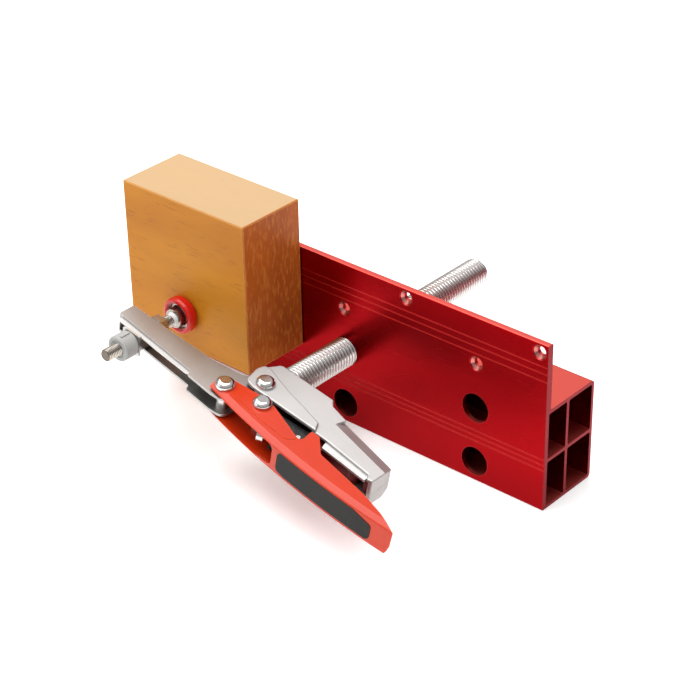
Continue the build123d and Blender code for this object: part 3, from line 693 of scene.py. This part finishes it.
def thread_tree():
    """A rod along Z with a screw thread, chamfered ends and a thinner neck."""
    tree = new_tree("screw thread", THREAD_SIZES, THREAD_COUNTS)
    given = tree.nodes.new("NodeGroupInput").outputs
    rod_sizes = {
        "Vertices": given["Segments"], "Side Segments": given["Rings"],
        "Radius": given["Radius"], "Depth": given["Length"],
    }
    rod = add_node(tree, "GeometryNodeMeshCylinder", rod_sizes, fill_type="TRIANGLE_FAN")
    position = tree.nodes.new("GeometryNodeInputPosition").outputs[0]
    point = add_node(tree, "ShaderNodeSeparateXYZ", {0: position}).outputs
    # How far round, in turns, and how far along, in pitches
    angle = math(tree, "ARCTAN2", point["Y"], point["X"])
    turns = math(tree, "DIVIDE", angle, 2 * pi)
    pitches = math(tree, "DIVIDE", point["Z"], given["Pitch"])
    phase = math(tree, "FRACT", math(tree, "SUBTRACT", pitches, turns))
    # The groove is deepest in the middle of each pitch, with a small flat root and crest
    off_middle = math(tree, "ABSOLUTE", math(tree, "SUBTRACT", phase, 0.5))
    fall = math(tree, "MULTIPLY", off_middle, GROOVE_SLOPE)
    groove = math(tree, "SUBTRACT", GROOVE_REACH, fall, clamp=True)
    groove = math(tree, "MULTIPLY", groove, given["Depth"])
    threaded = math(tree, "SUBTRACT", given["Radius"], groove)
    # Both ends are chamfered
    half = math(tree, "MULTIPLY", given["Length"], 0.5)
    to_end = math(tree, "SUBTRACT", half, math(tree, "ABSOLUTE", point["Z"]))
    lost = math(tree, "MAXIMUM", math(tree, "SUBTRACT", given["Chamfer"], to_end), 0.0)
    threaded = math(tree, "MINIMUM", threaded, math(tree, "SUBTRACT", given["Radius"], lost))
    # The neck starts its length away from the upper end
    neck_start = math(tree, "SUBTRACT", half, given["Neck length"])
    in_neck = math(tree, "GREATER_THAN", point["Z"], neck_start)
    thinner = math(tree, "SUBTRACT", threaded, given["Neck radius"])
    thinner = math(tree, "MAXIMUM", thinner, 0.0)
    radius = math(tree, "SUBTRACT", threaded, math(tree, "MULTIPLY", thinner, in_neck))
    scale = math(tree, "DIVIDE", radius, given["Radius"])
    moved = {axis: math(tree, "MULTIPLY", point[axis], scale) for axis in ("X", "Y")}
    moved["Z"] = point["Z"]
    new_position = add_node(tree, "ShaderNodeCombineXYZ", moved).outputs[0]
    shaping = {"Geometry": rod.outputs["Mesh"], "Position": new_position}
    shaped = add_node(tree, "GeometryNodeSetPosition", shaping).outputs[0]
    end_tree(tree, shaped, given["Finish"])
    return tree


screw_thread = thread_tree()
print("tree:", screw_thread.name, "inputs:", len(screw_thread.interface.items_tree) - 1)


# %% Threaded finish
CREST_PART = 0.15
POLISH = 0.16


def threaded_finish(name, crest_tone, groove_shade_tone, gloss, point, axis, crest, depth):
    """Plated steel, painted darker the nearer to the axis: painted shade in the thread's
    grooves.

    point and axis say where the screw's axis is, and crest is the thread's outer radius.
    """
    material, tree, shader, place = new_material(name, metallic=1.0)
    away = vector_math(tree, "SUBTRACT", place, tuple(point))
    across = vector_math(tree, "CROSS_PRODUCT", away, tuple(axis))
    reach = vector_math(tree, "LENGTH", across)
    root, shoulder = crest - depth, crest - depth * CREST_PART
    span = {"Value": reach, "From Min": root, "From Max": shoulder}
    lifted = add_node(tree, "ShaderNodeMapRange", span).outputs[0]
    smudge = stretched_noise(tree, place, (1, 1, 1), 420.0, 3.0, 0.6)
    shown = math(tree, "ADD", lifted, math(tree, "MULTIPLY", smudge, 0.25), clamp=True)
    shown = math(tree, "SUBTRACT", shown, 0.10, clamp=True)
    # Painted shade: the colour goes darker towards the root of the grooves
    color = mix(tree, shown, (*groove_shade_tone, 1), (*crest_tone, 1))
    rough = math(tree, "SUBTRACT", gloss + POLISH, math(tree, "MULTIPLY", shown, POLISH))
    fill(tree, shader, {"Base Color": color, "Roughness": rough})
    return material


print("threaded finish ready")

# %% [markdown]
# ## From a tree to a mesh
#
# The modifier that runs a tree is only a means: its result is copied into a plain mesh
# and the modifier goes with its seed, so what stays is an ordinary object whose points
# are already where they belong.

# %% Grow a tree into a plain mesh
def grow(name, tree, inputs, place, seed_mesh=None, sharp=35):
    """Runs a geometry tree and keeps its result as a plain mesh, moved to its place.

    seed_mesh is what the tree starts from, and sharp is the angle in degrees past which
    an edge isn't shaded smooth.
    """
    seed = bpy.data.objects.new(name + "_seed", seed_mesh or bpy.data.meshes.new("seed"))
    bpy.context.scene.collection.objects.link(seed)
    modifier = seed.modifiers.new("grow", "NODES")
    modifier.node_group = tree
    sockets = {item.name: item.identifier for item in tree.interface.items_tree}
    for label, value in inputs.items():
        modifier[sockets[label]] = value
    evaluated = seed.evaluated_get(bpy.context.evaluated_depsgraph_get())
    mesh = bpy.data.meshes.new_from_object(evaluated)
    bpy.data.objects.remove(seed)
    mesh.name = name
    mesh.transform(place)
    mesh.polygons.foreach_set("use_smooth", [True] * len(mesh.polygons))
    mesh.set_sharp_from_angle(angle=radians(sharp))
    mesh.update()
    grown = bpy.data.objects.new(name, mesh)
    bpy.context.scene.collection.objects.link(grown)
    return grown


def along(start, end):
    """A frame midway between two points, its Z from one to the other, and their distance."""
    run = end - start
    turn = run.to_track_quat("Z", "Y").to_matrix().to_4x4()
    return Matrix.Translation((start + end) / 2) @ turn, run.length


print("grow and along ready")

# %% [markdown]
# ## The threaded post
#
# The post is a piece of three-quarter inch rod with ten threads to the inch. Its front end
# is turned down to the plain journal that the clamp swivels on, so the tree's neck is put
# there. Its axis, length and radius are read from the solid part that it replaces.

# %% Threaded post
POST_PITCH, POST_DEPTH = 0.00254, 0.0013
JOURNAL_RADIUS, JOURNAL_LENGTH = 0.006, 0.0116

post_low, post_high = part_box("threaded_post")
post_axis = Vector(((post_low.x + post_high.x) / 2, 0, (post_low.z + post_high.z) / 2))
back_end = Vector((post_axis.x, post_high.y, post_axis.z))
front_end = Vector((post_axis.x, post_low.y, post_axis.z))
post_place, post_length = along(back_end, front_end)
post_radius = (post_high.x - post_low.x) / 2
post_finish = threaded_finish(
    "threaded zinc", (0.88, 0.85, 0.83), (0.22, 0.19, 0.18), 0.24,
    post_axis, v_axis, post_radius, POST_DEPTH,
)
post = grow(
    "post_thread",
    screw_thread,
    {
        "Radius": post_radius, "Length": post_length, "Pitch": POST_PITCH,
        "Depth": POST_DEPTH, "Chamfer": 0.0016, "Neck radius": JOURNAL_RADIUS,
        "Neck length": JOURNAL_LENGTH, "Segments": 56, "Rings": 760, "Finish": post_finish,
    },
    post_place,
)
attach(post, "post")
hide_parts("threaded_post")
print("post thread faces:", len(post.data.polygons))

# %% [markdown]
# ## The spindle
#
# The spindle is an 8 mm screw with a thin neck and a ball at its back end, which the pad
# turns on. The rod comes from the same tree, and the ball is a sphere added to its mesh.
# Its places are in millimetres in the clamp's plane: u across the post, v along it.

# %% Spindle
SPINDLE_U, SPINDLE_TIP_V, BALL_V = -89.3, -117.5, -58.6
SPINDLE_RADIUS, SPINDLE_PITCH, SPINDLE_DEPTH = 0.004, 0.00125, 0.0006
NECK_RADIUS, NECK_LENGTH, BALL_RADIUS = 0.0028, 0.0045, 0.0045

tip, ball = on_clamp(SPINDLE_U, SPINDLE_TIP_V), on_clamp(SPINDLE_U, BALL_V)
spindle_place, spindle_length = along(tip, ball)
spindle_finish = threaded_finish(
    "threaded steel", (0.62, 0.57, 0.50), (0.14, 0.11, 0.09), 0.20,
    on_clamp(SPINDLE_U, 0), v_axis, SPINDLE_RADIUS, SPINDLE_DEPTH,
)
spindle = grow(
    "spindle_thread",
    screw_thread,
    {
        "Radius": SPINDLE_RADIUS, "Length": spindle_length, "Pitch": SPINDLE_PITCH,
        "Depth": SPINDLE_DEPTH, "Chamfer": 0.0007, "Neck radius": NECK_RADIUS,
        "Neck length": NECK_LENGTH, "Segments": 40, "Rings": 480, "Finish": spindle_finish,
    },
    spindle_place,
)
with_ball = bmesh.new()
with_ball.from_mesh(spindle.data)
bmesh.ops.create_uvsphere(
    with_ball, u_segments=32, v_segments=20, radius=BALL_RADIUS,
    matrix=clamp_matrix(SPINDLE_U, BALL_V),
)
for face in with_ball.faces:
    face.smooth = True
with_ball.to_mesh(spindle.data)
with_ball.free()
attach(spindle, "feed")
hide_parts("spindle")
print("spindle faces:", len(spindle.data.polygons))

# %% [markdown]
# ## Painted glints round the screw holes
#
# The countersinks catch the light in small pale glints, so each one gets a thin pale pink
# ring, a painted highlight. One tree bends a thin slanted strip into a ring and places it
# on the seven hole centres.

# %% Countersink tree
RIM_SIZES = (("Hole radius", 0.0028), ("Rim radius", 0.0043), ("Proud", 0.00004))


def countersink_tree():
    """Sweeps a strip, slanted by half a right angle, into a ring at each given point."""
    tree = new_tree("countersink glints", RIM_SIZES, takes_geometry=True)
    given = tree.nodes.new("NodeGroupInput").outputs
    inner, outer = given["Hole radius"], given["Rim radius"]
    middle = math(tree, "MULTIPLY", math(tree, "ADD", inner, outer), 0.5)
    deep = math(tree, "SUBTRACT", outer, inner)
    circle = add_node(
        tree, "GeometryNodeCurvePrimitiveCircle", {"Resolution": 48, "Radius": middle},
        mode="RADIUS",
    ).outputs[0]
    strip_sizes = {"Width": math(tree, "MULTIPLY", deep, sqrt(2)), "Height": given["Proud"]}
    strip = add_node(tree, "GeometryNodeCurvePrimitiveQuadrilateral", strip_sizes).outputs[0]
    slant = {"Geometry": strip, "Rotation": (0, 0, radians(-45))}
    slanted = add_node(tree, "GeometryNodeTransform", slant).outputs[0]
    sweep = {"Curve": circle, "Profile Curve": slanted}
    rim = add_node(tree, "GeometryNodeCurveToMesh", sweep).outputs[0]
    facing_front = {
        "Points": given["Geometry"], "Instance": rim, "Rotation": (radians(90), 0, 0)
    }
    placed = add_node(tree, "GeometryNodeInstanceOnPoints", facing_front).outputs[0]
    end_tree(tree, placed, given["Finish"])
    return tree


glint_rims = countersink_tree()
print("tree:", glint_rims.name)

# %% Painted glints on the countersinks
LOWER_ROW_Z, UPPER_ROW_Z = 81.3, 106.0
LOWER_ROW_X = (-101.6, 0, 101.6)
UPPER_ROW_X = (-146.2, -48.8, 48.8, 146.2)
RIM_MIDDLE_DEPTH = 0.00133

hole_centres = [(x, LOWER_ROW_Z) for x in LOWER_ROW_X]
hole_centres += [(x, UPPER_ROW_Z) for x in UPPER_ROW_X]
rim_y = fence_low.y + RIM_MIDDLE_DEPTH
hole_points = bpy.data.meshes.new("hole points")
hole_points.from_pydata(
    [(x * MILLIMETRE, rim_y, z * MILLIMETRE) for x, z in hole_centres], [], []
)
rims = grow("screw_hole_glints", glint_rims, {"Finish": countersink_glint}, Matrix(), hole_points, 60)
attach(rims, "fence")
print("rims:", len(hole_centres), "faces:", len(rims.data.polygons))

# %% [markdown]
# ## Floor and sky
#
# The object stands on a white table that glows a little, so that the shadows stay faint.
# The floor lies a tenth of a millimetre under the object, because two faces in the same
# place would flicker. The sky is dimmer near the horizon, which gives the polished rivets
# something dark to reflect.

# %% Floor
FLOOR_HALF = 6.0
FLOOR_GAP = 0.0001

floor_mesh = bpy.data.meshes.new("floor")
corners = [(-1, -1), (1, -1), (1, 1), (-1, 1)]
floor_mesh.from_pydata(
    [(x * FLOOR_HALF, y * FLOOR_HALF, 0) for x, y in corners], [], [(0, 1, 2, 3)]
)
floor = bpy.data.objects.new("floor", floor_mesh)
bpy.context.scene.collection.objects.link(floor)
floor.location.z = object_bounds()[0][2] - FLOOR_GAP
floor_paint, *_ = new_material(
    "floor", roughness=0.9, Base_Color=(0.93, 0.93, 0.925, 1),
    Emission_Color=(1, 1, 1, 1), Emission_Strength=0.25,
)
floor_mesh.materials.append(floor_paint)
print("floor at", round(floor.location.z, 4))

# %% Sky
HORIZON, HALFWAY, OVERHEAD = (0.0, 0.22), (0.30, 0.55), (0.75, 0.95)
SKY_STRENGTH = 0.75

world = bpy.data.worlds.new("studio")
bpy.context.scene.world = world
world.use_nodes = True
sky_tree = world.node_tree
direction = sky_tree.nodes.new("ShaderNodeTexCoord").outputs["Generated"]
upward = add_node(sky_tree, "ShaderNodeSeparateXYZ", {0: direction}).outputs["Z"]
sky_color = ramp(sky_tree, upward, HORIZON, HALFWAY, OVERHEAD)
sky = {"Color": sky_color, "Strength": SKY_STRENGTH}
fill(sky_tree, sky_tree.nodes["Background"], sky)
bpy.context.scene.view_settings.view_transform = "Standard"
print("sky ready")

# %% [markdown]
# ## Lights
#
# Big soft lights give wide, even reflections on metal: one hangs overhead, and a weaker
# one stands on the left in front, so that the tops are brightest and the faces turned to
# +X are darkest.


# %% Lights
def area_light(name, place, target, size, power):
    """A square area light that looks at a point."""
    lamp = bpy.data.lights.new(name, "AREA")
    lamp.size = size
    lamp.energy = power
    light = bpy.data.objects.new(name, lamp)
    light.location = place
    light.rotation_euler = (Vector(target) - Vector(place)).to_track_quat("-Z", "Y").to_euler()
    bpy.context.scene.collection.objects.link(light)
    return light


lights = [
    area_light("overhead", (-0.25, 0.0, 1.5), (0, 0, 0.05), size=1.7, power=33.0),
    area_light("left front", (-0.9, -1.3, 0.7), (0, 0, 0.06), size=1.2, power=5.0),
]
print("lights:", [light.name for light in lights])

# %% [markdown]
# ## Camera
#
# The camera looks down at the object from the right in front, through a long lens that
# keeps parallel edges nearly parallel. Its three axes are worked out from how far round
# it stands, how high it looks from, and how much it rolls.

# %% Camera
AZIMUTH, ELEVATION, ROLL = radians(41.465), radians(30.99), radians(-1.011)
CAMERA_PLACE = (0.7255, -0.8399, 0.7076)
LENS, SENSOR_WIDTH, FARTHEST = 106.59, 36.0, 20.0

back = Vector(
    (sin(AZIMUTH) * cos(ELEVATION), -cos(AZIMUTH) * cos(ELEVATION), sin(ELEVATION))
)
right = Vector((cos(AZIMUTH), sin(AZIMUTH), 0))
up = back.cross(right)
view_right = right * cos(ROLL) + up * sin(ROLL)
view_up = up * cos(ROLL) - right * sin(ROLL)
camera_data = bpy.data.cameras.new("camera")
camera_data.lens = LENS
camera_data.sensor_width = SENSOR_WIDTH
camera_data.clip_end = FARTHEST
camera = bpy.data.objects.new("camera", camera_data)
turn = Matrix((view_right, view_up, back)).transposed().to_4x4()
camera.matrix_world = Matrix.Translation(CAMERA_PLACE) @ turn
bpy.context.scene.collection.objects.link(camera)
bpy.context.scene.camera = camera
print("camera at", [round(c, 3) for c in camera.location])
